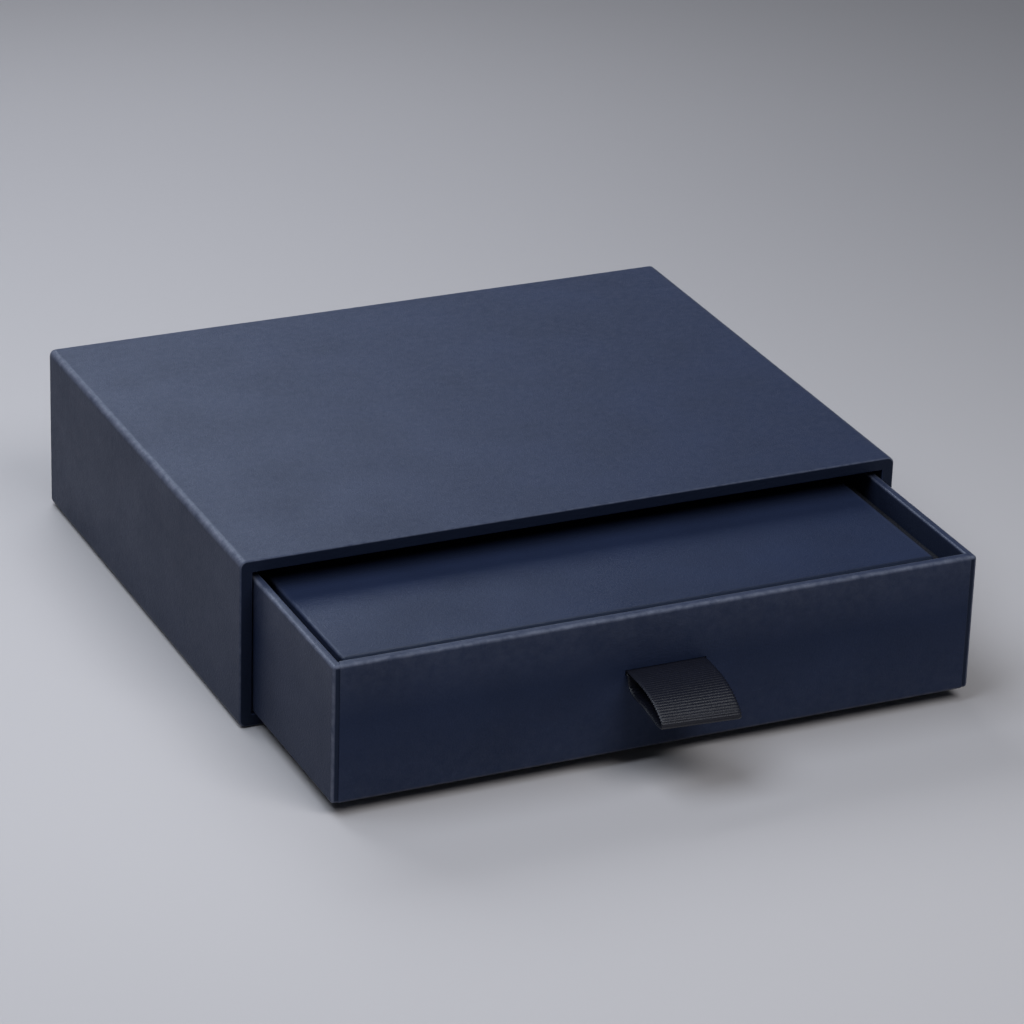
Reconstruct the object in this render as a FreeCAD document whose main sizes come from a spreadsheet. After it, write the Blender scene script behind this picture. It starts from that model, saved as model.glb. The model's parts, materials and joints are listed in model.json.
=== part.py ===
# Sliding drawer gift box: a wrapped board sleeve, open at the front, with a
# wrapped board drawer that slides in it, pulled by a ribbon loop.
# Millimetres. Origin at the centre of the sleeve's underside, +Z up, the mouth
# and the drawer's front face -Y. The drawer is modelled partly drawn out.
import FreeCAD
import Part
import Sketcher
import math
import os

V = FreeCAD.Vector

# Driving dimensions. Each one can be changed by itself.
SIZES = {
    # outside of the sleeve
    "sleeve_width": 200.0,
    "sleeve_depth": 159.0,
    "sleeve_height": 50.5,
    # board and paper
    "sleeve_board": 3.0,
    "drawer_board": 2.0,
    "cover_board": 2.0,
    "wrap_paper": 0.3,
    "lining_paper": 0.3,
    "base_paper": 0.3,
    "back_paper": 0.2,
    "facing_paper": 0.2,
    # rounding of the wrapped edges, and how far the paper turns in
    "sleeve_edge_radius": 2.0,
    "mouth_edge_radius": 0.5,
    "drawer_edge_radius": 1.0,
    "rim_inner_radius": 0.6,
    "turn_in": 15.0,
    "base_sheet_inset": 2.5,
    "back_sheet_inset": 3.6,
    # running clearances of the drawer in the sleeve, and how far it is drawn out
    "side_clearance": 0.5,
    "floor_clearance": 0.1,
    "head_clearance": 2.1,
    "back_clearance": 0.5,
    "drawn_out": 56.5,
    # front facing of the drawer
    "facing_inset": 2.0,
    "facing_clearance": 0.1,
    "facing_hem": 10.0,
    # slit and ribbon
    "slit_drop": 16.8,
    "slit_clearance": 0.15,
    "ribbon_width": 24.0,
    "ribbon_thickness": 0.5,
    "ribbon_offset": 1.0,
    "ply_gap": 0.2,
    "tail_clearance": 3.0,
    "fold_radius": 0.3,
    "pull_reach": 22.6,
    "pull_drop": 8.4,
    "patch_paper": 0.3,
    "patch_margin": 5.0,
    # foam layers
    "foam_side_gap": 0.4,
    "foam_front_gap": 2.5,
    "foam_base": 8.0,
    "pocket_end_border": 27.9,
    "pocket_side_border": 25.3,
    "pocket_radius": 8.0,
    "notch_radius": 11.0,
    # lift-out cover
    "cover_depth": 4.0,
    "cover_side_margin": 4.6,
    "cover_end_margin": 8.2,
    "cover_edge_radius": 1.2,
    "cover_under_radius": 0.5,
    "cover_turn_in": 12.0,
}

# Sizes and places that follow from the driving ones.
FITS = {
    "sleeve_wall": "=sizes.wrap_paper + sizes.sleeve_board + sizes.lining_paper",
    "sleeve_floor": "=sizes.base_paper + sleeve_wall",
    "sleeve_body_height": "=sizes.sleeve_height - sizes.base_paper",
    "sleeve_body_depth": "=sizes.sleeve_depth - sizes.back_paper",
    "sleeve_inner_width": "=sizes.sleeve_width - 2 * sleeve_wall",
    "sleeve_inner_height": "=sleeve_body_height - 2 * sleeve_wall",
    "sleeve_inner_depth": "=sleeve_body_depth - sleeve_wall",
    "sleeve_card_width": "=sizes.sleeve_width - 2 * sizes.wrap_paper",
    "sleeve_card_height": "=sleeve_body_height - 2 * sizes.wrap_paper",
    "sleeve_card_depth": "=sleeve_body_depth - 2 * sizes.wrap_paper",
    "sleeve_card_low": "=sizes.base_paper + sizes.wrap_paper",
    "sleeve_card_mid": "=sleeve_card_low + sleeve_card_height / 2",
    "sleeve_card_radius": "=sizes.sleeve_edge_radius - sizes.wrap_paper",
    "mouth": "=-sizes.sleeve_depth / 2",
    "sleeve_mid": "=mouth + sleeve_body_depth / 2",
    "drawer_wall": "=sizes.wrap_paper + sizes.drawer_board + sizes.lining_paper",
    "drawer_width": "=sleeve_inner_width - 2 * sizes.side_clearance",
    "drawer_low": "=sleeve_floor + sizes.floor_clearance + sizes.facing_paper",
    "rim": "=sleeve_floor + sleeve_inner_height - sizes.head_clearance",
    "drawer_height": "=rim - drawer_low",
    "drawer_length": "=sleeve_inner_depth - sizes.back_clearance - sizes.facing_paper",
    "drawer_front": "=mouth - sizes.drawn_out + sizes.facing_paper",
    "drawer_mid": "=drawer_front + drawer_length / 2",
    "drawer_card_width": "=drawer_width - 2 * sizes.wrap_paper",
    "drawer_card_length": "=drawer_length - 2 * sizes.wrap_paper",
    "drawer_card_height": "=drawer_height - 2 * sizes.wrap_paper",
    "drawer_card_low": "=drawer_low + sizes.wrap_paper",
    "drawer_card_radius": "=sizes.drawer_edge_radius - sizes.wrap_paper",
    "drawer_inner_width": "=drawer_width - 2 * drawer_wall",
    "drawer_inner_length": "=drawer_length - 2 * drawer_wall",
    "drawer_floor": "=drawer_low + drawer_wall",
    "plies": "=2 * sizes.ribbon_thickness + sizes.ply_gap",
    "slit_middle": "=rim - sizes.slit_drop",
    "slit_width": "=sizes.ribbon_width + 2 * sizes.slit_clearance",
    "slit_opening": "=plies + 2 * sizes.slit_clearance",
    "front_thickness": "=sizes.facing_paper + drawer_wall",
    "facing_taper": "=(drawer_wall + sizes.facing_clearance - sizes.facing_inset) / front_thickness",
    "tail_low": "=drawer_floor + sizes.tail_clearance",
    "ribbon_tail": "=slit_middle - plies / 2 - sizes.fold_radius - tail_low",
    "slit_inside": "=drawer_front + drawer_wall",
    "cover_thickness": "=2 * sizes.wrap_paper + sizes.cover_board",
    "cover_low": "=rim - sizes.cover_depth - cover_thickness",
    "cover_width": "=drawer_inner_width - 2 * sizes.cover_side_margin",
    "cover_length": "=drawer_inner_length - 2 * sizes.cover_end_margin",
    "foam_width": "=drawer_inner_width - 2 * sizes.foam_side_gap",
    "foam_length": "=drawer_inner_length - sizes.foam_front_gap - sizes.foam_side_gap",
    "foam_mid": "=drawer_mid + (sizes.foam_front_gap - sizes.foam_side_gap) / 2",
    "foam_cut": "=cover_low - drawer_floor - sizes.foam_base",
    "pocket_length": "=foam_width - 2 * sizes.pocket_end_border",
    "pocket_width": "=foam_length - 2 * sizes.pocket_side_border",
}

doc = FreeCAD.newDocument("drawer_gift_box")
parts = []


def fill_sheet(name, rows):
    """A sheet with one named cell for each row."""
    sheet = doc.addObject("Spreadsheet::Sheet", name)
    for number, (alias, value) in enumerate(rows.items(), start=1):
        sheet.set(f"A{number}", alias)
        sheet.set(f"B{number}", str(value))
        sheet.setAlias(f"B{number}", alias)
    doc.recompute()
    return sheet


sizes = fill_sheet("sizes", SIZES)
fits = fill_sheet("fits", FITS)


def keep(part):
    """Marks an object as a sub-part; its label names its file."""
    parts.append(part)
    return part


def bind(thing, **links):
    """Ties properties to sheet cells; __ in a name stands for a dot."""
    for name, formula in links.items():
        thing.setExpression(name.replace("__", "."), formula)


def place(thing, along_x="0", along_y="0", along_z="0"):
    """Puts an object where the sheet says."""
    bind(thing, Placement__Base__x=along_x, Placement__Base__y=along_y, Placement__Base__z=along_z)


def new_body(label):
    body = doc.addObject("PartDesign::Body", label)
    body.Label = label
    return body


def rectangle(body, name, plane, wide, tall, lift="0"):
    """A sketch of a rectangle about the origin, raised off a plane of its body."""
    sketch = body.newObject("Sketcher::SketchObject", name)
    support = [part for part in body.Origin.OriginFeatures if part.Role == plane]
    sketch.AttachmentSupport = (support[0], [""])
    sketch.MapMode = "FlatFace"
    bind(sketch, AttachmentOffset__Base__z=lift)
    corners = [V(-1, -1, 0), V(1, -1, 0), V(1, 1, 0), V(-1, 1, 0)]
    for start in range(4):
        end = (start + 1) % 4
        sketch.addGeometry(Part.LineSegment(corners[start], corners[end]), False)
    for start in range(4):
        sketch.addConstraint(Sketcher.Constraint("Coincident", start, 2, (start + 1) % 4, 1))
        sketch.addConstraint(Sketcher.Constraint("Vertical" if start % 2 else "Horizontal", start))
    sketch.addConstraint(Sketcher.Constraint("Symmetric", 0, 1, 1, 2, -1, 1))
    sketch.addConstraint(Sketcher.Constraint("DistanceX", 0, 1, 0, 2, 2))
    sketch.renameConstraint(sketch.ConstraintCount - 1, "wide")
    sketch.addConstraint(Sketcher.Constraint("DistanceY", 1, 1, 1, 2, 2))
    sketch.renameConstraint(sketch.ConstraintCount - 1, "tall")
    bind(sketch, Constraints__wide=wide, Constraints__tall=tall)
    return sketch


def pad(body, wide, deep, high):
    """A block on the body's floor plane, centred on its origin."""
    sketch = rectangle(body, body.Label + "_outline", "XY_Plane", wide, deep)
    block = body.newObject("PartDesign::Pad", body.Label + "_pad")
    block.Profile = sketch
    bind(block, Length=high)
    doc.recompute()
    return block


def pocket(body, sketch, deep):
    """A pocket from a sketch; stops if it takes nothing away."""
    before = body.Tip.Shape.Volume
    cut = body.newObject("PartDesign::Pocket", sketch.Name + "_pocket")
    cut.Profile = sketch
    bind(cut, Length=deep)
    doc.recompute()
    if cut.Shape.Volume >= before:
        raise RuntimeError(f"{cut.Name} cut nothing")
    return cut


def fillet(body, radius, chosen):
    """Rounds the edges of the body's tip that a test picks out."""
    base = body.Tip
    names = [f"Edge{number}" for number, edge in enumerate(base.Shape.Edges, start=1)
             if chosen(edge, base.Shape.BoundBox)]
    rounding = body.newObject("PartDesign::Fillet", body.Label + "_fillet")
    rounding.Base = (base, names)
    bind(rounding, Radius=radius)
    doc.recompute()
    return rounding


def near(value, other):
    return math.isclose(value, other, abs_tol=sizes.wrap_paper / 100)


def flat_at(edge, axis, level):
    """True where a whole edge lies at one level along an axis."""
    low = getattr(edge.BoundBox, axis + "Min")
    high = getattr(edge.BoundBox, axis + "Max")
    return near(low, level) and near(high, level)


def any_edge(edge, box):
    return True


def not_at_mouth(edge, box):
    return not flat_at(edge, "Y", box.YMin)


def not_at_foot(edge, box):
    return not flat_at(edge, "Z", box.ZMin)


def fuse(name, shapes):
    union = doc.addObject("Part::MultiFuse", name)
    union.Shapes = shapes
    return union


def cut(label, base, tool):
    result = doc.addObject("Part::Cut", label)
    result.Label = label
    result.Base = base
    result.Tool = tool
    return result


def mitred_plate(label, blank, thickness, turn, reach, at, taper, tool=None):
    """A board of a V-cut folded box. A wedge whose height is the board's
    thickness, from its inner to its outer face, is turned into place; what it
    shares with the rounded blank is the board. reach gives the outer face's
    span along the wedge's two sides, taper how much the inner face is
    narrower at the four ends of those spans."""
    wedge = doc.addObject("Part::Wedge", label + "_wedge")
    (x_low, x_high), (z_low, z_high) = reach
    (x_low_in, x_high_in), (z_low_in, z_high_in) = taper
    bind(wedge, Ymin=f"-({thickness})", Ymax="0", X2min=x_low, X2max=x_high, Z2min=z_low, Z2max=z_high)
    bind(wedge, Xmin=f"{x_low} + {x_low_in}", Xmax=f"{x_high} - {x_high_in}")
    bind(wedge, Zmin=f"{z_low} + {z_low_in}", Zmax=f"{z_high} - {z_high_in}")
    wedge.Placement = FreeCAD.Placement(V(0, 0, 0), turn)
    place(wedge, *at)
    board = doc.addObject("Part::Common", label + ("_blank" if tool else ""))
    board.Base = blank
    board.Tool = wedge
    if tool:
        board = cut(label, board, tool)
    board.Label = label
    return keep(board)


# Turns that lay a wedge's height along each outward direction.
UP = FreeCAD.Rotation(V(1, 0, 0), 90)
DOWN = FreeCAD.Rotation(V(1, 0, 0), -90)
RIGHT = FreeCAD.Rotation(V(0, 0, 1), -90)
LEFT = FreeCAD.Rotation(V(0, 0, 1), 90)
BACK = FreeCAD.Rotation()
FRONT = FreeCAD.Rotation(V(0, 0, 1), 180)


def half_span(whole):
    return f"-({whole}) / 2", f"({whole}) / 2"


def sleeve_boards():
    """Four mitred panels and the back panel set between them."""
    blank = new_body("sleeve_blank")
    pad(blank, "fits.sleeve_card_width", "fits.sleeve_card_depth", "fits.sleeve_card_height")
    fillet(blank, "fits.sleeve_card_radius", not_at_mouth)
    place(blank, along_y="fits.sleeve_mid", along_z="fits.sleeve_card_low")
    board = "sizes.sleeve_board"
    deep = half_span("fits.sleeve_card_depth")
    wide = half_span("fits.sleeve_card_width")
    tall = half_span("fits.sleeve_card_height")
    none = ("0", "0")
    both = (board, board)
    side = "fits.sleeve_card_width / 2"
    half = "fits.sleeve_card_height / 2"
    middle = "fits.sleeve_mid"
    level = "fits.sleeve_card_mid"
    boards = [
        mitred_plate("sleeve_top_board", blank, board, UP, (wide, deep),
                     ("0", middle, f"{level} + {half}"), (both, none)),
        mitred_plate("sleeve_bottom_board", blank, board, DOWN, (wide, deep),
                     ("0", middle, f"{level} - {half}"), (both, none)),
        mitred_plate("sleeve_left_board", blank, board, LEFT, (deep, tall),
                     (f"-{side}", middle, level), (none, both)),
        mitred_plate("sleeve_right_board", blank, board, RIGHT, (deep, tall),
                     (side, middle, level), (none, both)),
    ]
    back = new_body("sleeve_back_board")
    pad(back, f"fits.sleeve_card_width - 2 * {board}", board, f"fits.sleeve_card_height - 2 * {board}")
    place(back, along_y=f"{middle} + (fits.sleeve_card_depth - {board}) / 2",
          along_z=f"fits.sleeve_card_low + {board}")
    boards.append(keep(back))
    return boards


def sleeve_lining():
    """Inner paper, from the end of the wrap's turned-in edge to the back."""
    body = new_body("sleeve_lining")
    paper = "sizes.lining_paper"
    long = f"fits.sleeve_inner_depth + {paper} - sizes.turn_in"
    pad(body, f"fits.sleeve_inner_width + 2 * {paper}", long, f"fits.sleeve_inner_height + 2 * {paper}")
    mouth = rectangle(body, "sleeve_lining_mouth", "XZ_Plane",
                      "fits.sleeve_inner_width", "fits.sleeve_inner_height", f"({long}) / 2")
    bind(mouth, AttachmentOffset__Base__y=f"fits.sleeve_inner_height / 2 + {paper}")
    pocket(body, mouth, f"{long} - {paper}")
    place(body, along_y=f"fits.mouth + sizes.turn_in + ({long}) / 2", along_z=f"fits.sleeve_floor - {paper}")
    return keep(body)


def sleeve_wrap(boards, lining):
    """Covering paper: a rounded block, hollowed from the mouth, less the
    boards and the lining inside it."""
    body = new_body("sleeve_shell")
    pad(body, "sizes.sleeve_width", "fits.sleeve_body_depth", "fits.sleeve_body_height")
    fillet(body, "sizes.sleeve_edge_radius", not_at_mouth)
    mouth = rectangle(body, "sleeve_shell_mouth", "XZ_Plane",
                      "fits.sleeve_inner_width", "fits.sleeve_inner_height", "fits.sleeve_body_depth / 2")
    bind(mouth, AttachmentOffset__Base__y="fits.sleeve_body_height / 2")
    pocket(body, mouth, "fits.sleeve_inner_depth")
    fillet(body, "sizes.wrap_paper",
           lambda edge, box: flat_at(edge, "Y", box.YMin) and not is_outer(edge, box))
    fillet(body, "sizes.mouth_edge_radius",
           lambda edge, box: flat_at(edge, "Y", box.YMin) and is_outer(edge, box))
    place(body, along_y="fits.sleeve_mid", along_z="sizes.base_paper")
    return keep(cut("sleeve_wrap", body, fuse("sleeve_inside", boards + [lining])))


def is_outer(edge, box):
    """True for an edge of the mouth that lies on the outside of the sleeve."""
    margin = fits.sleeve_wall / 2
    middle = edge.BoundBox.Center
    inside_x = box.XMin + margin < middle.x < box.XMax - margin
    inside_z = box.ZMin + margin < middle.z < box.ZMax - margin
    return not (inside_x and inside_z)


def sleeve_base_sheet():
    """Flat sheet that closes the underside and carries the box."""
    body = new_body("sleeve_base_sheet")
    pad(body, "sizes.sleeve_width - 2 * sizes.base_sheet_inset",
        "sizes.sleeve_depth - 2 * sizes.base_sheet_inset", "sizes.base_paper")
    place(body)
    return keep(body)


def sleeve_back_sheet():
    """Flat sheet over the paper that is folded onto the back."""
    body = new_body("sleeve_back_sheet")
    pad(body, "sizes.sleeve_width - 2 * sizes.back_sheet_inset", "sizes.back_paper",
        "fits.sleeve_body_height - 2 * sizes.back_sheet_inset")
    place(body, along_y="(sizes.sleeve_depth - sizes.back_paper) / 2",
          along_z="sizes.base_paper + sizes.back_sheet_inset")
    return keep(body)


def slit_cutter():
    """Block that cuts the ribbon's slit through the drawer's front wall."""
    block = doc.addObject("Part::Box", "slit")
    bind(block, Length="fits.slit_width", Width="2 * fits.front_thickness", Height="fits.slit_opening")
    place(block, "sizes.ribbon_offset - fits.slit_width / 2",
          "fits.drawer_front - fits.front_thickness / 2", "fits.slit_middle - fits.slit_opening / 2")
    return block


def drawer_boards(slit):
    """Floor and four walls of one folded board, every fold mitred."""
    blank = new_body("drawer_blank")
    pad(blank, "fits.drawer_card_width", "fits.drawer_card_length", "fits.drawer_card_height")
    fillet(blank, "fits.drawer_card_radius", any_edge)
    place(blank, along_y="fits.drawer_mid", along_z="fits.drawer_card_low")
    board = "sizes.drawer_board"
    wide = half_span("fits.drawer_card_width")
    long = half_span("fits.drawer_card_length")
    tall = ("0", "fits.drawer_card_height")
    both = (board, board)
    foot = (board, "0")
    side = "fits.drawer_card_width / 2"
    half = "fits.drawer_card_length / 2"
    middle = "fits.drawer_mid"
    low = "fits.drawer_card_low"
    return [
        mitred_plate("drawer_base_board", blank, board, DOWN, (wide, long), ("0", middle, low), (both, both)),
        mitred_plate("drawer_front_board", blank, board, FRONT, (wide, tall),
                     ("0", f"{middle} - {half}", low), (both, foot), slit),
        mitred_plate("drawer_back_board", blank, board, BACK, (wide, tall),
                     ("0", f"{middle} + {half}", low), (both, foot)),
        mitred_plate("drawer_left_board", blank, board, LEFT, (long, tall),
                     (f"-{side}", middle, low), (both, foot)),
        mitred_plate("drawer_right_board", blank, board, RIGHT, (long, tall),
                     (side, middle, low), (both, foot)),
    ]


def well(body, name, wide, deep, top, down):
    """A rectangular pocket from a level down."""
    return pocket(body, rectangle(body, name, "XY_Plane", wide, deep, top), down)


def drawer_lining(slit):
    """Inner paper of the floor and walls, up to the wrap's turned-in edge."""
    body = new_body("drawer_lining_tray")
    paper = "sizes.lining_paper"
    high = f"fits.rim - sizes.turn_in - fits.drawer_floor + {paper}"
    pad(body, f"fits.drawer_inner_width + 2 * {paper}", f"fits.drawer_inner_length + 2 * {paper}", high)
    well(body, "drawer_lining_well", "fits.drawer_inner_width", "fits.drawer_inner_length",
         high, f"{high} - {paper}")
    place(body, along_y="fits.drawer_mid", along_z=f"fits.drawer_floor - {paper}")
    return keep(cut("drawer_lining", body, slit))


def at_inner_rim(edge, box):
    """True for an edge of the rim that runs along the inside of a wall."""
    middle = edge.BoundBox.Center
    at_side = near(abs(middle.x), fits.drawer_inner_width / 2)
    at_end = near(abs(middle.y), fits.drawer_inner_length / 2)
    return flat_at(edge, "Z", box.ZMax) and (at_side or at_end)


def drawer_wrap(boards, lining, slit):
    """Covering paper of the drawer: a rounded tray less the boards and the
    lining inside it."""
    body = new_body("drawer_shell")
    pad(body, "fits.drawer_width", "fits.drawer_length", "fits.drawer_height")
    fillet(body, "sizes.drawer_edge_radius", any_edge)
    well(body, "drawer_shell_well", "fits.drawer_inner_width", "fits.drawer_inner_length",
         "fits.drawer_height", "fits.drawer_height - fits.drawer_wall")
    fillet(body, "sizes.rim_inner_radius", at_inner_rim)
    place(body, along_y="fits.drawer_mid", along_z="fits.drawer_low")
    return keep(cut("drawer_wrap", body, fuse("drawer_inside", boards + [lining, slit])))


# Two headings whose cosine differs from one by less than this are the same.
SAME_HEADING_SHARE = 1e-7


def arc_to(start, heading, end):
    """Arc, or line, from a point along a heading to an end point."""
    chord = end - start
    along = chord.dot(heading) / chord.Length
    if 1 - along < SAME_HEADING_SHARE:
        return Part.LineSegment(start, end)
    aside = heading - chord * (heading.dot(chord) / chord.Length ** 2)
    rise = chord.Length / 2 * math.tan(math.acos(along) / 2)
    return Part.Arc(start, start + chord / 2 + aside.normalize() * rise, end)


def biarc(start, heading, end, last_heading):
    """Two arcs that join two points and meet on one tangent."""
    chord = end - start
    along = chord.dot(heading + last_heading)
    bend = 2 * (1 - heading.dot(last_heading))
    if bend < SAME_HEADING_SHARE:
        step = chord.dot(chord) / (2 * along)
    else:
        step = (math.sqrt(along ** 2 + bend * chord.dot(chord)) - along) / bend
    middle = (start + end + (heading - last_heading) * step) / 2
    return [arc_to(start, heading, middle), arc_to(end, last_heading * -1, middle)]


def toward(degrees):
    """Heading in the YZ plane: 0 is straight out of the front, 90 is up."""
    angle = math.radians(degrees)
    return V(0, -math.cos(angle), math.sin(angle))


def smooth_path(stops):
    """Arcs through stops, each a point and the heading in degrees there."""
    spans = []
    for (start, turn), (end, last_turn) in zip(stops, stops[1:]):
        spans += biarc(start, toward(turn), end, toward(last_turn))
    return spans


def strip(label, spans, offset, width, start):
    """A paper or ribbon strip: a path in the YZ plane, thickened to one side
    and drawn out along X from where it starts."""
    wire = Part.Wire([span.toShape() for span in spans])
    face = wire.makeOffset2D(offset, fill=True, openResult=True)
    part = doc.addObject("Part::Feature", label)
    part.Label = label
    part.Shape = face.extrude(V(width, 0, 0))
    place(part, start)
    return part


def drawer_front_facing(slit):
    """The front flap: up the front wall, over the rim and down inside, with a
    hem under the floor. It stops short of the corners, and narrows over the
    rim and the hem so that it passes between the side walls."""
    front = fits.drawer_front
    inside = front + fits.drawer_wall
    low = fits.drawer_low
    rim = fits.rim
    outer = sizes.drawer_edge_radius
    inner = sizes.rim_inner_radius
    stops = [
        (V(0, front + sizes.facing_hem, low), 0),
        (V(0, front + outer, low), 0),
        (V(0, front, low + outer), 90),
        (V(0, front, rim - outer), 90),
        (V(0, front + outer, rim), 180),
        (V(0, inside - inner, rim), 180),
        (V(0, inside, rim - inner), 270),
        (V(0, inside, rim - sizes.turn_in), 270),
    ]
    flap = strip("facing_strip", smooth_path(stops), -sizes.facing_paper, fits.drawer_width,
                 "-fits.drawer_width / 2")
    ends = doc.addObject("Part::Wedge", "facing_ends")
    half = "fits.drawer_width / 2 - sizes.facing_inset"
    long = "2 * sizes.facing_paper + sizes.facing_hem"
    high = "sizes.sleeve_height"
    bind(ends, Ymin="0", Ymax=long, Zmin="0", Zmax=high, Z2min="0", Z2max=high)
    narrowed = f"{half} - ({long}) * fits.facing_taper"
    bind(ends, Xmin=f"-({half})", Xmax=half, X2min=f"-({narrowed})", X2max=narrowed)
    place(ends, "0", "fits.drawer_front - sizes.facing_paper")
    trimmed = doc.addObject("Part::Common", "facing_trimmed")
    trimmed.Base = flap
    trimmed.Tool = ends
    return keep(cut("drawer_front_facing", trimmed, slit))


# The loop of the pull, from the slit round the tip and back. Each stop: how
# far out, as a share of the reach, how far down, as a share of the drop, and
# the ribbon's heading there in degrees.
UPPER_PLY_SHARES = [(0.3, 0.02, -4), (0.6, 0.16, -16), (0.84, 0.44, -32), (0.96, 0.68, -44)]
TIP_SHARES = [(1.0, 0.88, -90), (0.95, 1.0, -180)]
LOWER_PLY_SHARES = [(0.8, 0.95, -192), (0.55, 0.8, -194), (0.25, 0.71, -184), (0.05, 0.36, -262)]


def pull_ribbon():
    """One ribbon: its outer face runs up from the glued tail, out through the
    slit, round the loop, back through the slit and down to the other tail."""
    thick = sizes.ribbon_thickness
    plies = fits.plies
    front = fits.drawer_front - sizes.facing_paper
    wall = fits.slit_inside + sizes.slit_clearance
    upper = fits.slit_middle + plies / 2
    lower = fits.slit_middle - plies / 2
    fold = sizes.fold_radius
    end = fits.tail_low
    stops = [
        (V(0, wall + plies, end), 90),
        (V(0, wall + plies, upper - fold - plies), 90),
        (V(0, wall - fold, upper), 0),
        (V(0, front, upper), 0),
    ]
    for out, down, turn in UPPER_PLY_SHARES + TIP_SHARES + LOWER_PLY_SHARES:
        stops.append((V(0, front - out * sizes.pull_reach, upper - down * sizes.pull_drop), turn))
    stops += [
        (V(0, front, lower), -180),
        (V(0, wall - fold, lower), -180),
        (V(0, wall, lower - fold), -90),
        (V(0, wall, end), -90),
    ]
    return keep(strip("pull_ribbon", smooth_path(stops), -thick, sizes.ribbon_width,
                      "sizes.ribbon_offset - sizes.ribbon_width / 2"))


def ribbon_anchor_patch():
    """Paper patch glued over the ribbon's two tails."""
    body = new_body("ribbon_anchor_patch")
    pad(body, "sizes.ribbon_width + 2 * sizes.patch_margin", "sizes.patch_paper", "fits.ribbon_tail")
    place(body, "sizes.ribbon_offset",
          "fits.slit_inside + sizes.slit_clearance + fits.plies + sizes.patch_paper / 2", "fits.tail_low")
    return keep(body)


def foam_base_layer():
    """Plain foam on the drawer's floor."""
    body = new_body("foam_base_layer")
    pad(body, "fits.foam_width", "fits.foam_length", "sizes.foam_base")
    place(body, along_y="fits.foam_mid", along_z="fits.drawer_floor")
    return keep(body)


def foam_cut_layer():
    """Foam with the die-cut pocket and a thumb notch at each end of it."""
    body = new_body("foam_cut_layer")
    pad(body, "fits.foam_width", "fits.foam_length", "fits.foam_cut")
    well(body, "foam_pocket", "fits.pocket_length", "fits.pocket_width", "fits.foam_cut", "fits.foam_cut")
    half_length = fits.pocket_length / 2
    fillet(body, "sizes.pocket_radius",
           lambda edge, box: near(edge.BoundBox.ZLength, box.ZLength)
           and near(abs(edge.BoundBox.Center.x), half_length))
    notches = body.newObject("Sketcher::SketchObject", "thumb_notches")
    support = [part for part in body.Origin.OriginFeatures if part.Role == "XY_Plane"]
    notches.AttachmentSupport = (support[0], [""])
    notches.MapMode = "FlatFace"
    bind(notches, AttachmentOffset__Base__z="fits.foam_cut")
    for number, side in enumerate((-1, 1)):
        notches.addGeometry(Part.Circle(V(side * half_length, 0, 0), V(0, 0, 1), sizes.notch_radius), False)
        notches.addConstraint(Sketcher.Constraint("PointOnObject", number, 3, -1))
        notches.addConstraint(Sketcher.Constraint("DistanceX", -1, 1, number, 3, side * half_length))
        notches.renameConstraint(notches.ConstraintCount - 1, f"out{number}")
        notches.addConstraint(Sketcher.Constraint("Radius", number, sizes.notch_radius))
        notches.renameConstraint(notches.ConstraintCount - 1, f"radius{number}")
    bind(notches, Constraints__out0="-fits.pocket_length / 2", Constraints__out1="fits.pocket_length / 2")
    bind(notches, Constraints__radius0="sizes.notch_radius", Constraints__radius1="sizes.notch_radius")
    pocket(body, notches, "fits.foam_cut")
    place(body, along_y="fits.foam_mid", along_z="fits.drawer_floor + sizes.foam_base")
    return keep(body)


def cover():
    """Lift-out cover: a board core, its paper with rounded edges turned under,
    and the sheet that closes the underside."""
    board = new_body("cover_board")
    pad(board, "fits.cover_width - 2 * sizes.wrap_paper", "fits.cover_length - 2 * sizes.wrap_paper",
        "sizes.cover_board")
    fillet(board, "sizes.cover_edge_radius - sizes.wrap_paper", not_at_foot)
    place(board, along_y="fits.drawer_mid", along_z="fits.cover_low + sizes.wrap_paper")
    sheet = new_body("cover_under_sheet")
    hem = "2 * (sizes.wrap_paper + sizes.cover_turn_in)"
    pad(sheet, f"fits.cover_width - {hem}", f"fits.cover_length - {hem}", "sizes.wrap_paper")
    place(sheet, along_y="fits.drawer_mid", along_z="fits.cover_low")
    shell = new_body("cover_shell")
    pad(shell, "fits.cover_width", "fits.cover_length", "fits.cover_thickness")
    fillet(shell, "sizes.cover_edge_radius", not_at_foot)
    fillet(shell, "sizes.cover_under_radius", lambda edge, box: flat_at(edge, "Z", box.ZMin))
    place(shell, along_y="fits.drawer_mid", along_z="fits.cover_low")
    keep(board)
    keep(cut("cover_wrap", shell, fuse("cover_inside", [board, sheet])))
    keep(sheet)


def build():
    boards = sleeve_boards()
    lining = sleeve_lining()
    sleeve_wrap(boards, lining)
    sleeve_base_sheet()
    sleeve_back_sheet()
    slit = slit_cutter()
    walls = drawer_boards(slit)
    tray = drawer_lining(slit)
    drawer_wrap(walls, tray, slit)
    drawer_front_facing(slit)
    pull_ribbon()
    ribbon_anchor_patch()
    foam_base_layer()
    foam_cut_layer()
    cover()
    doc.recompute()


def check():
    """Stops on any object that failed and on any sub-part that is not a valid solid."""
    for thing in doc.Objects:
        if "Invalid" in thing.State or "Error" in thing.State:
            raise RuntimeError(f"{thing.Name}: {thing.State}")
    for part in parts:
        shape = part.Shape
        if shape.isNull() or not shape.isValid() or not shape.Solids:
            raise RuntimeError(f"{part.Label} is not a valid solid")


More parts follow.
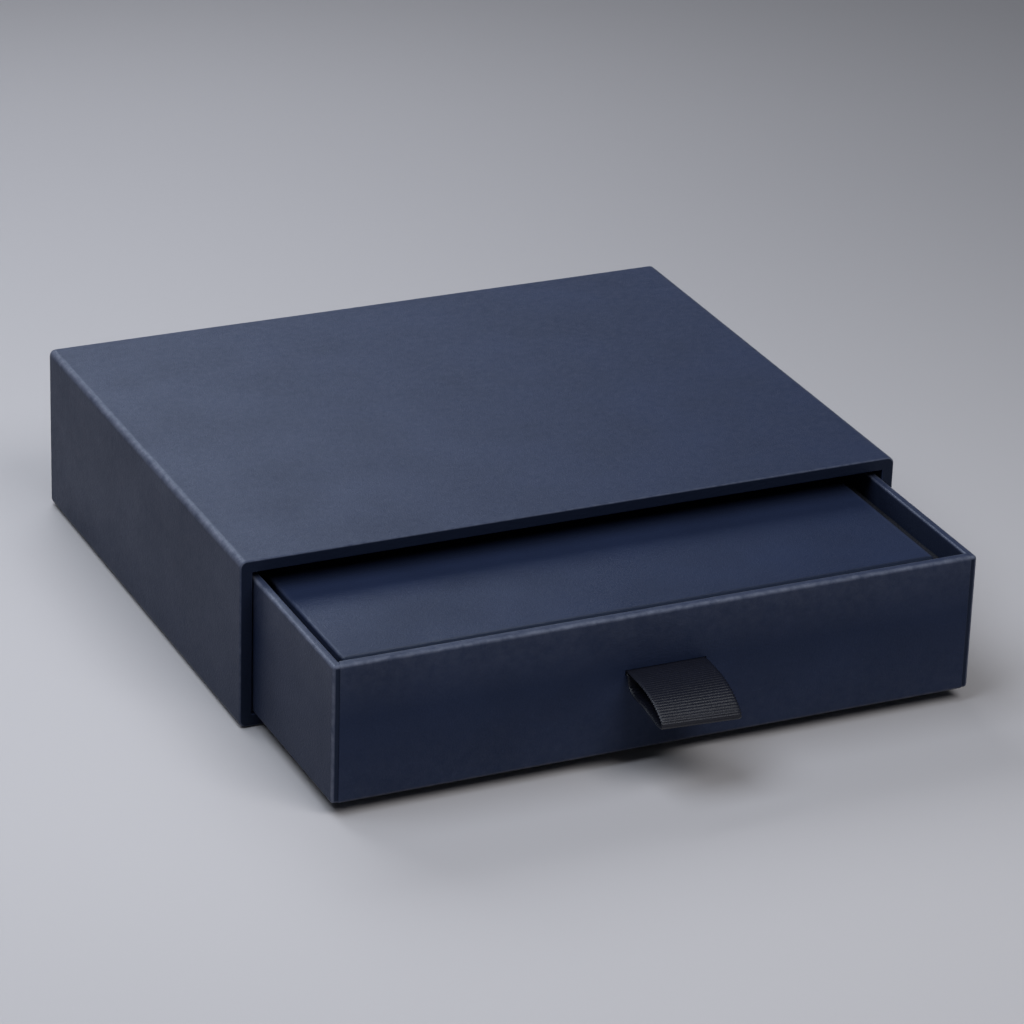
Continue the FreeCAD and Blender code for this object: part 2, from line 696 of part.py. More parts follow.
def write():
    os.makedirs("parts", exist_ok=True)
    for part in parts:
        part.Shape.exportStep(f"parts/{part.Label}.step")
        box = part.Shape.optimalBoundingBox()
        print(f"{part.Label:22s} solids {len(part.Shape.Solids)} faces {len(part.Shape.Faces):3d}"
              f" volume {part.Shape.Volume:10.1f} x {box.XMin:.2f} {box.XMax:.2f}"
              f" y {box.YMin:.2f} {box.YMax:.2f} z {box.ZMin:.2f} {box.ZMax:.2f}")


build()
check()
write()
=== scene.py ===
# Looks of the sliding drawer gift box: navy paper over board, a ribbed ribbon
# pull and dark foam. Metres, in the part's own frame: +Z up, the mouth and the
# drawer's front face -Y.
import json
import math

import bmesh
import bpy
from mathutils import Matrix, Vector, noise


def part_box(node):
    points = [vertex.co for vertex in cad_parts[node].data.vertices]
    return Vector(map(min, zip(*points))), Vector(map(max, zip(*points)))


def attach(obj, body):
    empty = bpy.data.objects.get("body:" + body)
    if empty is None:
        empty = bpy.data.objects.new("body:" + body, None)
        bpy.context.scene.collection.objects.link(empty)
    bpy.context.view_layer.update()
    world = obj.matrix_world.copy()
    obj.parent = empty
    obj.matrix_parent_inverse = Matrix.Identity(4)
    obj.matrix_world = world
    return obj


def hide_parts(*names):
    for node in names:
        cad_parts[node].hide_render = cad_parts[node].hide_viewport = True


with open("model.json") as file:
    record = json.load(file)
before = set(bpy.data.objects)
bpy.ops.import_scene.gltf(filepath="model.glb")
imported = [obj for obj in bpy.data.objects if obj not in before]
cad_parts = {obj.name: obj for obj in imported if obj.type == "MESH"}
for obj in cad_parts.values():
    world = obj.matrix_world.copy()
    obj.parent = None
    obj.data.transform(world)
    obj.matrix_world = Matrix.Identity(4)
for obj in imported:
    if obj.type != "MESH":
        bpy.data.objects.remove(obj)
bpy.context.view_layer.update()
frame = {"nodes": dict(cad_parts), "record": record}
nodes = frame["nodes"]
box = {name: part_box(name) for name in nodes}
MM = 0.001

# Sizes that the boxes of the nodes don't give.
PAPER = 0.3 * MM
SLEEVE_EDGE = 2.0 * MM
MOUTH_EDGE = 0.5 * MM
DRAWER_EDGE = 1.0 * MM
RIM_INNER_EDGE = 0.6 * MM
COVER_EDGE = 0.8 * MM
COVER_UNDER_EDGE = 0.5 * MM
# Beyond the cover's rounded front edge, the run over which its painted shade fades.
COVER_FADE = 1.0 * MM
COVER_TURN_IN = 12.0 * MM
FACING_INSET = 2.0 * MM
FACING_CLEARANCE = 0.1 * MM
SLIT_CLEARANCE = 0.15 * MM
PLIES = 1.2 * MM
RIBBON = 0.5 * MM
FOLD = 0.3 * MM
PULL_DROP = 8.4 * MM
PULL_SKEW = 1.2 * MM
POCKET_END_BORDER = 27.9 * MM
POCKET_SIDE_BORDER = 25.3 * MM
POCKET_RADIUS = 8.0 * MM
NOTCH_RADIUS = 11.0 * MM

# How much each edge of the paper is lightened, from 0 to 1, by wear and a painted highlight, how much of that
# reaches the faces beside it, and how much painted shade the drawer's inner walls take.
MOUTH_INNER_WEAR_AND_HIGHLIGHT = 0.1
MOUTH_WEAR_AND_HIGHLIGHT = 0.6
SLEEVE_WEAR_AND_HIGHLIGHT = 0.9
RIM_WEAR_AND_HIGHLIGHT = 1.0
RIM_INNER_WEAR_AND_HIGHLIGHT = 0.6
FOOT_WEAR_AND_HIGHLIGHT = 0.5
COVER_WEAR_AND_HIGHLIGHT = 0.15
COVER_UNDER_WEAR_AND_HIGHLIGHT = 0.5
WEAR_AND_HIGHLIGHT_SPREAD = 0.2
WALL_PAINTED_SHADE = 0.7

# The ribbon's loop: how far out as a share of its reach, how far down as a
# share of its drop, and its heading there in degrees, 0 straight out.
UPPER_PLY_SHARES = [(0.3, 0.02, -4), (0.6, 0.16, -16), (0.84, 0.44, -32), (0.96, 0.68, -44)]
TIP_SHARES = [(1.0, 0.88, -90), (0.95, 1.0, -180)]
LOWER_PLY_SHARES = [(0.8, 0.95, -192), (0.55, 0.8, -194), (0.25, 0.71, -184), (0.05, 0.36, -262)]

# Fineness of the meshes: lines beside each rounded edge, the widest step on a
# flat face, the steps of a rounded edge, and how near two points become one.
SUPPORT = 0.25 * MM
SPACING = 3.0 * MM
ARC_STEPS = 6
SAME = 0.001 * MM

# Slow waves of a hand-wrapped panel, and the unevenness of cut foam.
WAVE = (34.0 * MM, 0.05 * MM)
FOAM_WAVE = (7.0 * MM, 0.12 * MM)
FOAM_SINK_SHARE = 0.6

# Ribs of the ribbon, and its selvedge of small loops.
RIB = 0.95 * MM
RIB_HEIGHT = 0.13 * MM
RIB_STEPS = 8
RIB_ROUNDNESS = 0.7
SELVEDGE = 0.7 * MM
SELVEDGE_THICKNESS_SHARE = 0.45
SELVEDGE_RIB_SHARE = 0.3
SELVEDGE_LIP_SHARE = 0.5
LOOP = 0.25 * MM
RIBBON_COLUMNS = 16
LINE_STEPS = 40

# Cut foam: the ease of its edges, and the steps of its walls and faces.
FOAM_EDGE = 0.6 * MM
FOAM_EDGE_EASE = 0.18 * MM
FOAM_TURNS = 480
FOAM_WALL_STEPS = 8
FOAM_TOP_STEPS = 10

# The photograph's camera.
LENS = 159.94
SENSOR = 36.0
CAMERA_PLACE = (-0.50041, -1.11144, 0.57663)
CAMERA_TURN = (65.2662, -1.6953, -24.1879)
CLIP = (0.05, 60.0)

# Colours of the materials.
NAVY = (0.0132, 0.0190, 0.0425)
# Colour of worn edges, which also stands for a painted highlight.
WEAR_AND_HIGHLIGHT_COLOUR = (0.20, 0.21, 0.26)
# Painted shade colour, for the mouth's lip, the drawer's front ends and inner walls, and the cover's front
# edge.
PAINTED_SHADE_COLOUR = (0.0090, 0.0125, 0.0260)
LINING = (0.014, 0.018, 0.033)
GREYBOARD = (0.30, 0.28, 0.25)
GROSGRAIN = (0.0045, 0.0048, 0.0095)
FOAM = (0.0070, 0.0075, 0.0100)
# Floor colours near and far, darkening away as a painted light falloff.
FLOOR_NEAR = (0.465, 0.437, 0.430)
FLOOR_FAR = (0.300, 0.285, 0.288)

# Roughness of the two papers, and how much of the worn edges' colour, wear and painted highlight together,
# their edges take. Then the paper's weak reflection, and its tint.
OUTER_FINISH = (0.5, 0.6)
INNER_FINISH = (0.7, 0.1)
PAPER_REFLECTION = 0.16
REFLECTION_TINT = (0.60, 0.76, 1.0, 1.0)

# Paper's layers: the size of each, the depths of its relief, and how much
# lighter or darker than the paper's own colour each layer is.
CLOUD = 28 * MM
CLOUD_DEPTH = 0.05 * MM
CLOUD_TONES = (0.88, 1.14)
CLOUD_ROUGHNESS = 0.04
TOOTH = 0.55 * MM
TOOTH_TONE = 1.5
TOOTH_SHARE = 0.35
FIBRE = 0.9 * MM
FIBRE_STRETCH = (2.6, 0.8, 0.8)
GRAIN_DEPTH = 0.045 * MM
SPECK = 1.1 * MM
SPECK_TONE = 1.7
SPECK_SHARE = 0.25
# Patches of the edges' wear and painted highlight, and the polish of the wear.
WEAR_AND_HIGHLIGHT_PATCH = 2.4 * MM
RUB_POLISH = 0.1

# The same for the board, the ribbon's threads and the foam.
BOARD_FIBRE = 0.8 * MM
BOARD_STRETCH = (3.0, 1.0, 1.0)
BOARD_FLECK = 1.6 * MM
BOARD_DEPTH = 0.06 * MM
THREAD = 0.16 * MM
THREAD_STRETCH = (0.9, 4.0, 4.0)
THREAD_DEPTH = 0.05 * MM
THREAD_CLOUD = 5 * MM
THREAD_ROUGHNESS = (0.44, 0.36)
CELL = 0.6 * MM
CELL_DEPTH = 0.25 * MM
CELL_CLOUD = 9 * MM

# The range that noise around 0.5 mostly keeps to.
NOISE_RANGE = (0.3, 0.7)

# The floor's painted light falloff: the heading in which it is measured, and where along it the near colour
# ends and the far one is reached.
FADE_HEADING = (0.41, 0.912, 0.0)
FADE_RANGE = (-0.22, 0.36)
FLOOR_SIZE = 6.0

# What the camera sees beyond the lit floor, and the distances over which the
# floor passes into it.
BACKDROP = (0.260, 0.262, 0.290)
BACKDROP_RANGE = (0.55, 1.1)

# Soft lights, all turned to one point: place, width, depth, power in watts
# and colour.
LAMPS = {
    "front_high": ((0.20, -0.80, 1.00), 0.6, 0.6, 7.3, (0.92, 0.95, 1.0)),
    "front_low": ((-0.15, -1.20, 0.22), 0.5, 0.2, 0.4, (0.86, 0.92, 1.0)),
    "back_soft": ((-0.12, 0.45, 0.45), 0.5, 0.4, 2.6, (0.86, 0.92, 1.0)),
    "left_soft": ((-0.30, -0.10, 0.70), 0.5, 0.5, 3.8, (0.78, 0.87, 1.0)),
    "far_soft": ((0.05, 0.35, 0.40), 0.3, 0.25, 0.6, (0.86, 0.92, 1.0)),
}
LIT_POINT = (0.0, -0.03, 0.02)
SURROUNDINGS = ((0.65, 0.80, 1.0, 1.0), 0.025)


def make_camera():
    """The photograph's camera."""
    data = bpy.data.cameras.new("camera")
    data.lens = LENS
    data.sensor_width = SENSOR
    data.clip_start, data.clip_end = CLIP
    camera = bpy.data.objects.new("camera", data)
    camera.location = CAMERA_PLACE
    camera.rotation_euler = [math.radians(turn) for turn in CAMERA_TURN]
    bpy.context.scene.collection.objects.link(camera)
    bpy.context.scene.camera = camera


# Materials


class Graph:
    """A material's node tree, with short calls that add nodes and links."""

    def __init__(self, name):
        self.material = bpy.data.materials.new(name)
        self.material.use_nodes = True
        self.tree = self.material.node_tree
        self.surface = self.tree.nodes["Principled BSDF"]
        self.coords = self.add("ShaderNodeTexCoord").outputs["Object"]

    def add(self, kind, **settings):
        node = self.tree.nodes.new(kind)
        for name, value in settings.items():
            setattr(node, name, value)
        return node

    def put(self, socket, value):
        """Links an output to a socket, or sets the socket to a value."""
        if isinstance(value, bpy.types.NodeSocket):
            self.tree.links.new(value, socket)
        else:
            socket.default_value = value

    def scaled(self, size, stretch=(1, 1, 1)):
        """The object's coordinates, in units of a size in metres."""
        scale = self.add("ShaderNodeVectorMath", operation="MULTIPLY")
        self.put(scale.inputs[0], self.coords)
        self.put(scale.inputs[1], tuple(1 / (size * share) for share in stretch))
        return scale.outputs[0]

    def noise(self, size, detail=3.0, rough=0.5, stretch=(1, 1, 1)):
        """Noise with features of a size in metres, around 0.5."""
        node = self.add("ShaderNodeTexNoise")
        self.put(node.inputs["Vector"], self.scaled(size, stretch))
        self.put(node.inputs["Scale"], 1.0)
        self.put(node.inputs["Detail"], detail)
        self.put(node.inputs["Roughness"], rough)
        return node.outputs["Fac"]

    def cells(self, size):
        """Distance to the middle of round cells of a size in metres."""
        node = self.add("ShaderNodeTexVoronoi", feature="SMOOTH_F1")
        self.put(node.inputs["Vector"], self.scaled(size))
        self.put(node.inputs["Scale"], 1.0)
        return node.outputs["Distance"]

    def attribute(self, name):
        return self.add("ShaderNodeAttribute", attribute_name=name).outputs["Fac"]

    def ramp(self, value, low, high, to_low=0.0, to_high=1.0, curve="LINEAR"):
        """A value's range from low to high, spread from to_low to to_high."""
        node = self.add("ShaderNodeMapRange", interpolation_type=curve)
        for name, number in (("Value", value), ("From Min", low), ("From Max", high),
                             ("To Min", to_low), ("To Max", to_high)):
            self.put(node.inputs[name], number)
        return node.outputs["Result"]

    def math(self, operation, first, second):
        node = self.add("ShaderNodeMath", operation=operation)
        self.put(node.inputs[0], first)
        self.put(node.inputs[1], second)
        return node.outputs[0]

    def mix(self, share, first, second):
        """Blends two colours."""
        node = self.add("ShaderNodeMix", data_type="RGBA")
        self.put(node.inputs["Factor"], share)
        self.put(node.inputs["A"], first)
        self.put(node.inputs["B"], second)
        return node.outputs["Result"]

    def bump(self, *layers):
        """Stacks layers of (height, depth in metres) and links the last."""
        normal = None
        for height, depth in layers:
            node = self.add("ShaderNodeBump")
            self.put(node.inputs["Strength"], 1.0)
            self.put(node.inputs["Distance"], depth)
            self.put(node.inputs["Height"], height)
            if normal:
                self.put(node.inputs["Normal"], normal)
            normal = node.outputs["Normal"]
        self.put(self.surface.inputs["Normal"], normal)

    def finish(self, colour, roughness, **fixed):
        """Colour and roughness may be linked; the rest are plain numbers."""
        self.put(self.surface.inputs["Base Color"], colour)
        self.put(self.surface.inputs["Roughness"], roughness)
        for name, value in fixed.items():
            self.put(self.surface.inputs[name.replace("_", " ")], value)
        return self.material


def tone(colour, factor=1.0):
    return tuple(part * factor for part in colour) + (1.0,)


def paper_material(name, colour, rough, wear_and_highlight_share):
    """Uncoated fine-toothed paper: cloudy tint, short fibres, sparse specks, edges lighter and smoother from
    wear and a painted highlight, and painted shade where a point's attribute asks for it."""
    graph = Graph(name)
    cloud = graph.noise(CLOUD, 4.0, 0.55)
    tooth = graph.noise(TOOTH, 4.0, 0.62)
    fibre = graph.noise(FIBRE, 2.0, 0.5, FIBRE_STRETCH)
    grain = graph.ramp(graph.math("ADD", tooth, fibre), 0.75, 1.3)
    darker, lighter = (tone(colour, factor) for factor in CLOUD_TONES)
    base = graph.mix(graph.ramp(cloud, 0.32, 0.68), darker, lighter)
    base = graph.mix(graph.ramp(tooth, 0.3, 0.75, 0.0, TOOTH_SHARE), base, tone(colour, TOOTH_TONE))
    specks = graph.ramp(graph.noise(SPECK, 1.0, 0.4), 0.70, 0.78, 0.0, SPECK_SHARE)
    base = graph.mix(specks, base, tone(colour, SPECK_TONE))
    # Edges lightened in patches by wear and a painted highlight.
    patchy = graph.ramp(graph.noise(WEAR_AND_HIGHLIGHT_PATCH, 4.0, 0.6), *NOISE_RANGE, 0.35, 1.0)
    wear_and_highlight = graph.math("MULTIPLY", graph.attribute("edge"), patchy)
    base = graph.mix(graph.math("MULTIPLY", wear_and_highlight, wear_and_highlight_share), base, tone(WEAR_AND_HIGHLIGHT_COLOUR))
    # Painted shade, where a point's attribute asks for it.
    base = graph.mix(graph.attribute("painted_shade"), base, tone(PAINTED_SHADE_COLOUR))
    roughness = graph.ramp(cloud, *NOISE_RANGE, rough + CLOUD_ROUGHNESS, rough - CLOUD_ROUGHNESS)
    roughness = graph.math("SUBTRACT", roughness, graph.math("MULTIPLY", wear_and_highlight, RUB_POLISH))
    graph.bump((cloud, CLOUD_DEPTH), (grain, GRAIN_DEPTH))
    return graph.finish(base, roughness, Specular_IOR_Level=PAPER_REFLECTION, Specular_Tint=REFLECTION_TINT)


def board_material():
    """Grey recycled board: speckled fibres in a warm grey."""
    graph = Graph("recycled_board")
    fibre = graph.noise(BOARD_FIBRE, 5.0, 0.6, BOARD_STRETCH)
    fleck = graph.ramp(graph.noise(BOARD_FLECK, 2.0, 0.5), 0.62, 0.7, 0.0, 0.6)
    base = graph.mix(graph.ramp(fibre, *NOISE_RANGE), tone(GREYBOARD, 0.8), tone(GREYBOARD, 1.15))
    base = graph.mix(fleck, base, tone(GREYBOARD, 0.45))
    graph.bump((fibre, BOARD_DEPTH))
    return graph.finish(base, 0.92)


def ribbon_material():
    """Dull viscose warp over round weft cords."""
    graph = Graph("ribbed_ribbon")
    warp = graph.noise(THREAD, 2.0, 0.5, THREAD_STRETCH)
    cloud = graph.noise(THREAD_CLOUD, 3.0, 0.5)
    base = graph.mix(graph.ramp(warp, *NOISE_RANGE), tone(GROSGRAIN, 0.7), tone(GROSGRAIN, 1.5))
    base = graph.mix(graph.ramp(cloud, *NOISE_RANGE, 0.0, 0.25), base, tone(GROSGRAIN, 1.7))
    graph.bump((warp, THREAD_DEPTH))
    roughness = graph.ramp(warp, *NOISE_RANGE, *THREAD_ROUGHNESS)
    return graph.finish(base, roughness, Specular_IOR_Level=0.4)


def foam_material():
    """Fine open-cell foam."""
    graph = Graph("open_foam")
    cell = graph.cells(CELL)
    cloud = graph.noise(CELL_CLOUD, 4.0, 0.6)
    base = graph.mix(graph.ramp(cell, 0.1, 0.6), tone(FOAM, 0.55), tone(FOAM, 1.9))
    base = graph.mix(graph.ramp(cloud, *NOISE_RANGE, 0.0, 0.3), base, tone(FOAM, 2.2))
    graph.bump((cell, CELL_DEPTH))
    return graph.finish(base, 0.95, Specular_IOR_Level=0.1)


def floor_material():
    """Pale studio sweep whose colour darkens away from the camera, a painted light falloff."""
    graph = Graph("studio_sweep")
    along = graph.add("ShaderNodeVectorMath", operation="DOT_PRODUCT")
    graph.put(along.inputs[0], graph.coords)
    graph.put(along.inputs[1], FADE_HEADING)
    fade = graph.ramp(along.outputs["Value"], *FADE_RANGE, curve="SMOOTHSTEP")
    base = graph.mix(fade, tone(FLOOR_NEAR), tone(FLOOR_FAR))
    away = graph.add("ShaderNodeVectorMath", operation="LENGTH")
    graph.put(away.inputs[0], graph.coords)
    beyond = graph.ramp(away.outputs["Value"], *BACKDROP_RANGE, curve="SMOOTHSTEP")
    seen = graph.add("ShaderNodeLightPath").outputs["Is Camera Ray"]
    shown = graph.add("ShaderNodeEmission")
    graph.put(shown.inputs["Color"], tone(BACKDROP))
    blend = graph.add("ShaderNodeMixShader")
    graph.put(blend.inputs[0], graph.math("MULTIPLY", beyond, seen))
    graph.put(blend.inputs[1], graph.surface.outputs[0])
    graph.put(blend.inputs[2], shown.outputs[0])
    graph.put(graph.tree.nodes["Material Output"].inputs["Surface"], blend.outputs[0])
    return graph.finish(base, 0.85, Specular_IOR_Level=0.2)


# Meshes


def waving(thing, size, height, rest=0.0):
    """Moves every point along its normal by slow waves around a rest level."""
    mesh = thing.data
    moves = [vertex.normal * (noise.noise(vertex.co / size) - rest) * height for vertex in mesh.vertices]
    for vertex, move in zip(mesh.vertices, moves):
        vertex.co += move
    mesh.update()


def tidy_mesh(name, points, faces, material, edges=None, painted_shades=None):
    """A smooth-shaded object from points and faces, with how much each point is lightened by wear and a
    painted highlight, and how much painted shade it takes."""
    mesh = bpy.data.meshes.new(name)
    mesh.from_pydata(points, [], faces)
    for attribute, values in (("edge", edges), ("painted_shade", painted_shades)):
        layer = mesh.attributes.new(attribute, "FLOAT", "POINT")
        layer.data.foreach_set("value", values or [0.0] * len(points))
    work = bmesh.new()
    work.from_mesh(mesh)
    bmesh.ops.remove_doubles(work, verts=work.verts, dist=SAME)
    bmesh.ops.recalc_face_normals(work, faces=work.faces)
    centre = sum((vertex.co for vertex in work.verts), Vector()) / len(work.verts)
    outermost = max(work.faces, key=lambda face: (face.calc_center_median() - centre).length)
    if outermost.normal.dot(outermost.calc_center_median() - centre) < 0:
        bmesh.ops.reverse_faces(work, faces=work.faces)
    work.to_mesh(mesh)
    work.free()
    mesh.polygons.foreach_set("use_smooth", [True] * len(mesh.polygons))
    mesh.materials.append(material)
    thing = bpy.data.objects.new(name, mesh)
    bpy.context.scene.collection.objects.link(thing)
    return thing


def lattice(rows, columns, closed):
    """Faces between neighbouring rows of points; a closed lattice also joins
    its last column to its first."""
    faces = []
    for row in range(rows - 1):
        for column in range(columns if closed else columns - 1):
            nearby = (column + 1) % columns
            faces.append((row * columns + column, row * columns + nearby,
                          (row + 1) * columns + nearby, (row + 1) * columns + column))
    return faces


def kept(faces, points, hole):
    """The faces whose middle isn't in a hole."""
    def centre(face):
        return sum((points[corner] for corner in face), Vector()) / len(face)

    return [face for face in faces if not hole(centre(face))]


def rounded(corners):
    """A path through corners of (inset, along), rounded where a radius and a share of wear and painted
    highlight follow: each such corner becomes an arc with a support point on both sides, and long runs are
    divided. Gives points of (inset, along, share of wear and painted highlight)."""
    points = [(*corners[0][:2], 0.0)]
    for before, here, after in zip(corners, corners[1:], corners[2:]):
        if len(here) == 2:
            points.append((*here, 0.0))
            continue
        radius, wear_and_highlight = here[2:]
        centre = Vector(here[:2])
        arrive = (centre - Vector(before[:2])).normalized()
        leave = (Vector(after[:2]) - centre).normalized()
        hub = centre + (leave - arrive) * radius
        points.append((*(centre - arrive * (radius + SUPPORT)), wear_and_highlight * WEAR_AND_HIGHLIGHT_SPREAD))
        for step in range(ARC_STEPS + 1):
            turn = math.radians(90) * step / ARC_STEPS
            spot = hub + (arrive * math.sin(turn) - leave * math.cos(turn)) * radius
            points.append((*spot, wear_and_highlight * max(WEAR_AND_HIGHLIGHT_SPREAD, math.sin(2 * turn))))
        points.append((*(centre + leave * (radius + SUPPORT)), wear_and_highlight * WEAR_AND_HIGHLIGHT_SPREAD))
    points.append((*corners[-1][:2], 0.0))
    return divided(points)


def divided(points):
    """Divides runs longer than the spacing."""
    result = [points[0]]
    for start, end in zip(points, points[1:]):
        count = max(1, round(math.dist(start[:2], end[:2]) / SPACING))
        for step in range(1, count + 1):
            result.append(tuple(a + (b - a) * step / count for a, b in zip(start, end)))
    return result


def stations(half, marks=()):
    """Places along a side from -half to half: even steps, with support points
    at the ends and lines at the marks."""
    count = round(2 * half / SPACING)
    even = [half * (2 * step / count - 1) for step in range(1, count)]
    even = [place for place in even if all(abs(place - mark) > SPACING / 2 for mark in marks)]
    return sorted([-half, SUPPORT - half, half - SUPPORT, half, *marks, *even])


def drawn_in(places, run, steady):
    """Places along a side drawn in to a shorter run; those within the steady
    distance of the middle stay, where they fit."""
    full = places[-1]
    if run <= steady:
        return [place * run / full for place in places]
    squeeze = (run - steady) / (full - steady)
    return [place if abs(place) <= steady else math.copysign(steady + (abs(place) - steady) * squeeze, place)
            for place in places]


def ring(half_wide, half_deep, radius, wide_places, deep_places, steady):
    """Points of a rounded rectangle about the origin, with how much each is
    part of a corner."""
    wide, deep = half_wide - radius, half_deep - radius
    wide_places = drawn_in(wide_places, wide, steady)
    deep_places = drawn_in(deep_places, deep, 0.0)
    sides = [(1, 0, half_deep, wide_places), (0, 1, half_wide, deep_places),
             (-1, 0, half_deep, wide_places), (0, -1, half_wide, deep_places)]
    points = []
    for number, (along_x, along_y, out, places) in enumerate(sides):
        for place in places:
            points.append((along_x * place + along_y * out, along_y * place - along_x * out, 0.0))
        hub = (wide * (1 if number in (0, 1) else -1), deep * (1 if number in (1, 2) else -1))
        for step in range(1, ARC_STEPS):
            turn = math.radians(90) * (number - 1 + step / ARC_STEPS)
            points.append((hub[0] + radius * math.cos(turn), hub[1] + radius * math.sin(turn),
                           math.sin(math.radians(180) * step / ARC_STEPS)))
    return points


def skin(name, half_wide, half_deep, corner, path, place, material, marks=(), steady=0.0, hole=None,
         painted_shade=None):
    """A wrapped shell: a rounded rectangle that follows a path of insets.
    place turns (x, y, along) into a point, marks are lines across the width, hole tells which faces are cut
    and shade which points take painted shade."""
    wide_places = stations(half_wide - corner, marks)
    deep_places = stations(half_deep - corner)
    points, edges = [], []
    for inset, along, path_edge in path:
        radius = max(corner - inset, min(PAPER, half_deep - inset))
        for x, y, ring_edge in ring(half_wide - inset, half_deep - inset, radius, wide_places, deep_places,
                                    steady):
            points.append(place(x, y, along))
            edges.append(max(path_edge, ring_edge if inset < corner else 0.0))
    faces = lattice(len(path), len(points) // len(path), True)
    if hole:
        faces = kept(faces, points, hole)
    painted_shades = [float(painted_shade(point)) for point in points] if painted_shade else None
    thing = tidy_mesh(name, points, faces, material, edges, painted_shades)
    waving(thing, *WAVE)
    return thing


def middle(low, high):
    return (low + high) / 2


def halves(low, high):
    """Half of a box's width, depth and height."""
    return tuple((high - low) / 2)


# Pieces


def sleeve_cover(material):
    """The sleeve's paper, turned in over the mouth, with painted shade on its lip."""
    low, high = box["sleeve_wrap"]
    centre = middle(low, high)
    half_wide, _, half_high = halves(low, high)
    wall = box["sleeve_left_board"][1].x - low.x + PAPER
    turned_in = box["sleeve_lining"][0].y
    path = rounded([
        (wall - PAPER, turned_in),
        (wall, turned_in),
        (wall, low.y, PAPER, MOUTH_INNER_WEAR_AND_HIGHLIGHT),
        (0, low.y, MOUTH_EDGE, MOUTH_WEAR_AND_HIGHLIGHT),
        (0, high.y, SLEEVE_EDGE, SLEEVE_WEAR_AND_HIGHLIGHT),
        (half_high, high.y),
    ])
    return skin("sleeve_cover_paper", half_wide, half_high, SLEEVE_EDGE, path,
                lambda x, y, along: Vector((x, along, centre.z + y)), material,
                painted_shade=lambda point: point.y < low.y + SAME)


def slit_box():
    """The slit, from the ribbon's sides and plies; its y is behind the wall."""
    low, high = box["pull_ribbon"]
    return (Vector((low.x - SLIT_CLEARANCE, high.y, high.z - PLIES - SLIT_CLEARANCE)),
            Vector((high.x + SLIT_CLEARANCE, high.y, high.z + SLIT_CLEARANCE)))


slit_low, slit_high = slit_box()


def in_slit(point):
    """True inside the slit for the ribbon, on the drawer's front wall."""
    return (slit_low.x < point.x < slit_high.x and slit_low.z < point.z < slit_high.z
            and point.y < slit_low.y)


def drawer_cover(material):
    """The drawer's paper, turned in over the rims."""
    low, high = box["drawer_wrap"]
    centre = middle(low, high)
    half_wide, half_deep, _ = halves(low, high)
    wall = box["drawer_left_board"][1].x - low.x + PAPER
    turned_in = box["drawer_lining"][1].z
    flap = box["drawer_front_facing"][1].x
    path = rounded([
        (wall - PAPER, turned_in),
        (wall, turned_in),
        (wall, high.z, RIM_INNER_EDGE, RIM_INNER_WEAR_AND_HIGHLIGHT),
        (0, high.z, DRAWER_EDGE, RIM_WEAR_AND_HIGHLIGHT),
        (0, slit_high.z),
        (0, slit_low.z),
        (0, low.z, DRAWER_EDGE, FOOT_WEAR_AND_HIGHLIGHT),
        (half_deep, low.z),
    ])

    def painted_shade(point):
        """Painted shade: full on the front's ends beside the facing, partial on the walls' inner faces."""
        if point.y < low.y + SAME and abs(point.x) > flap - SAME:
            return 1.0
        within_width = abs(point.x) < half_wide - wall + SAME
        within_depth = abs(point.y - centre.y) < half_deep - wall + SAME
        below_rim = point.z < high.z - RIM_INNER_EDGE
        return WALL_PAINTED_SHADE if within_width and within_depth and below_rim else 0.0

    return skin("drawer_cover_paper", half_wide, half_deep, DRAWER_EDGE, path,
                lambda x, y, along: Vector((x, centre.y + y, along)), material,
                marks=(-flap, slit_low.x, slit_high.x, flap), steady=slit_high.x, hole=in_slit, painted_shade=painted_shade)


def cover_panel(material):
    """The lift-out cover's paper, turned under, with painted shade along its front edge."""
    low, high = box["cover_wrap"]
    centre = middle(low, high)
    half_wide, half_deep, _ = halves(low, high)
    path = rounded([
        (COVER_TURN_IN, low.z + PAPER),
        (COVER_TURN_IN, low.z),
        (0, low.z, COVER_UNDER_EDGE, COVER_UNDER_WEAR_AND_HIGHLIGHT),
        (0, high.z, COVER_EDGE, COVER_WEAR_AND_HIGHLIGHT),
        (COVER_EDGE + COVER_FADE, high.z),
        (half_deep, high.z),
    ])
    front = low.y + COVER_EDGE + SUPPORT
    return skin("cover_panel_paper", half_wide, half_deep, COVER_EDGE, path,
                lambda x, y, along: Vector((x, centre.y + y, along)), material,
                painted_shade=lambda point: point.y < front + SAME)


